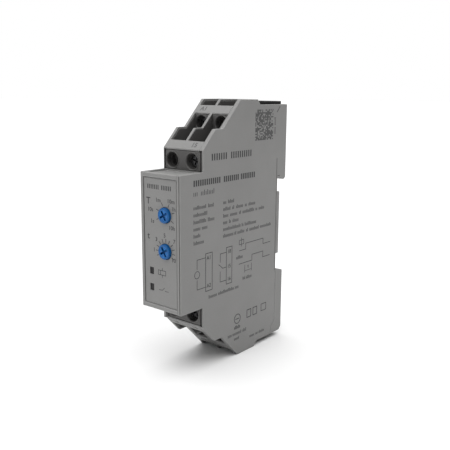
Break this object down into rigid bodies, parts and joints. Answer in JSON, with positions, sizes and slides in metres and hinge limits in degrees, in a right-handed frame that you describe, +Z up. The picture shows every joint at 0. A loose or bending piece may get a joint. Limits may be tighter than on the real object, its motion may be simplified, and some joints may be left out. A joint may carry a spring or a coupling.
{
  "type": "din rail timer",
  "caption": "Slim grey timer relay for a 35 mm rail, with a raised nose carrying two blue setting dials, stepped screw terminals and a sprung rail clip.",
  "frame": {"origin": "centre of the bounding box on the surface the timer stands on, under its lowest terminal end", "axes": "+Z up along the tall side, +X across the module towards the clip-on side cover, -Y out of the nose and +Y towards the rail"},
  "size_m": [0.0176, 0.0578, 0.09],
  "materials": {
    "housing": "satin moulded grey with a fine spark texture",
    "panel": "satin moulded grey",
    "label": "printed foil on the nose",
    "knob": "translucent blue moulding",
    "trimmer": "cream moulding",
    "window": "smoked lens",
    "led": "moulded epoxy",
    "board": "green solder mask on glass laminate",
    "brass": "tinned brass stamping",
    "component_black": "moulded epoxy",
    "relay_case": "thin moulded case",
    "copper": "enamelled copper winding",
    "steel": "zinc plated",
    "capacitor": "shrink sleeve",
    "film_capacitor": "moulded box",
    "varistor": "dipped epoxy coating",
    "terminal": "dark grey glass filled moulding",
    "vent": "black moulding"
  },
  "bodies": {
    "housing": {"housing_shell": "housing", "side_cover": "housing", "front_panel": "panel", "dial_label": "label", "range_trimmer": "trimmer", "time_trimmer": "trimmer", "supply_window": "window", "relay_window": "window", "supply_led": "led", "relay_led": "led", "front_board": "board", "board_link_pins": "brass", "main_board": "board", "relay_base": "component_black", "relay_case": "relay_case", "relay_bobbin": "trimmer", "relay_winding": "copper", "relay_yoke": "steel", "relay_fixed_contacts": "brass", "smoothing_capacitor": "capacitor", "dropper_capacitor": "film_capacitor", "timer_chip": "component_black", "surge_varistor": "varistor", "upper_front_block": "terminal", "upper_rear_block": "terminal", "lower_front_block": "terminal", "lower_rear_block": "terminal", "upper_contact_bars": "brass", "lower_contact_bars": "brass", "rail_clip_spring": "steel", "upper_vent_insert": "vent", "lower_vent_insert": "vent"},
    "range_dial": {"range_knob": "knob"},
    "time_dial": {"time_knob": "knob"},
    "clip": {"rail_clip": "housing"},
    "armature": {"relay_armature": "steel"},
    "terminal_screw_a1": {"screw_a1": "steel"},
    "clamp_a1": {"cage_a1": "brass"},
    "terminal_screw_15": {"screw_15": "steel"},
    "clamp_15": {"cage_15": "brass"},
    "terminal_screw_a2": {"screw_a2": "steel"},
    "clamp_a2": {"cage_a2": "brass"},
    "terminal_screw_16": {"screw_16": "steel"},
    "clamp_16": {"cage_16": "brass"},
    "terminal_screw_18": {"screw_18": "steel"},
    "clamp_18": {"cage_18": "brass"}
  },
  "joints": [
    {"name": "range_dial_turn", "type": "hinge", "parent": "housing", "child": "range_dial", "pos_m": [0.00205, -0.02813, 0.0544], "axis": [0, 1, 0], "range_deg": [-120, 150]},
    {"name": "time_dial_turn", "type": "hinge", "parent": "housing", "child": "time_dial", "pos_m": [0.00205, -0.02813, 0.04265], "axis": [0, 1, 0], "range_deg": [-120, 150]},
    {"name": "rail_clip_slide", "type": "slide", "parent": "housing", "child": "clip", "axis": [0, 0, -1], "range_m": [0, 0.004], "stiffness_N_per_m": 1500, "deforming": ["rail_clip_spring"]},
    {"name": "armature_pull", "type": "hinge", "parent": "housing", "child": "armature", "pos_m": [0.0006, 0.01208, 0.04925], "axis": [1, 0, 0], "range_deg": [0, 3], "stiffness_Nm_per_rad": 0.01},
    {"name": "screw_a1_turn", "type": "hinge", "parent": "housing", "child": "terminal_screw_a1", "pos_m": [-0.0047, -0.00003, 0.082], "axis": [0, 1, 0], "range_deg": [0, 1440]},
    {"name": "clamp_a1_slide", "type": "slide", "parent": "housing", "child": "clamp_a1", "axis": [0, -1, 0], "range_m": [0, 0.0018]},
    {"name": "screw_15_turn", "type": "hinge", "parent": "housing", "child": "terminal_screw_15", "pos_m": [0.004, -0.01443, 0.0706], "axis": [0, 1, 0], "range_deg": [0, 1440]},
    {"name": "clamp_15_slide", "type": "slide", "parent": "housing", "child": "clamp_15", "axis": [0, -1, 0], "range_m": [0, 0.0018]},
    {"name": "screw_a2_turn", "type": "hinge", "parent": "housing", "child": "terminal_screw_a2", "pos_m": [-0.0047, -0.00003, 0.008], "axis": [0, 1, 0], "range_deg": [0, 1440]},
    {"name": "clamp_a2_slide", "type": "slide", "parent": "housing", "child": "clamp_a2", "axis": [0, -1, 0], "range_m": [0, 0.0018]},
    {"name": "screw_16_turn", "type": "hinge", "parent": "housing", "child": "terminal_screw_16", "pos_m": [0.004, -0.01443, 0.0194], "axis": [0, 1, 0], "range_deg": [0, 1440]},
    {"name": "clamp_16_slide", "type": "slide", "parent": "housing", "child": "clamp_16", "axis": [0, -1, 0], "range_m": [0, 0.0018]},
    {"name": "screw_18_turn", "type": "hinge", "parent": "housing", "child": "terminal_screw_18", "pos_m": [-0.0047, -0.01443, 0.0194], "axis": [0, 1, 0], "range_deg": [0, 1440]},
    {"name": "clamp_18_slide", "type": "slide", "parent": "housing", "child": "clamp_18", "axis": [0, -1, 0], "range_m": [0, 0.0018]}
  ],
  "couplings": [
    {"joint": "screw_a1_turn", "follows": "clamp_a1_slide", "rad_per_m": 13962},
    {"joint": "screw_15_turn", "follows": "clamp_15_slide", "rad_per_m": 13962},
    {"joint": "screw_a2_turn", "follows": "clamp_a2_slide", "rad_per_m": 13962},
    {"joint": "screw_16_turn", "follows": "clamp_16_slide", "rad_per_m": 13962},
    {"joint": "screw_18_turn", "follows": "clamp_18_slide", "rad_per_m": 13962}
  ]
}
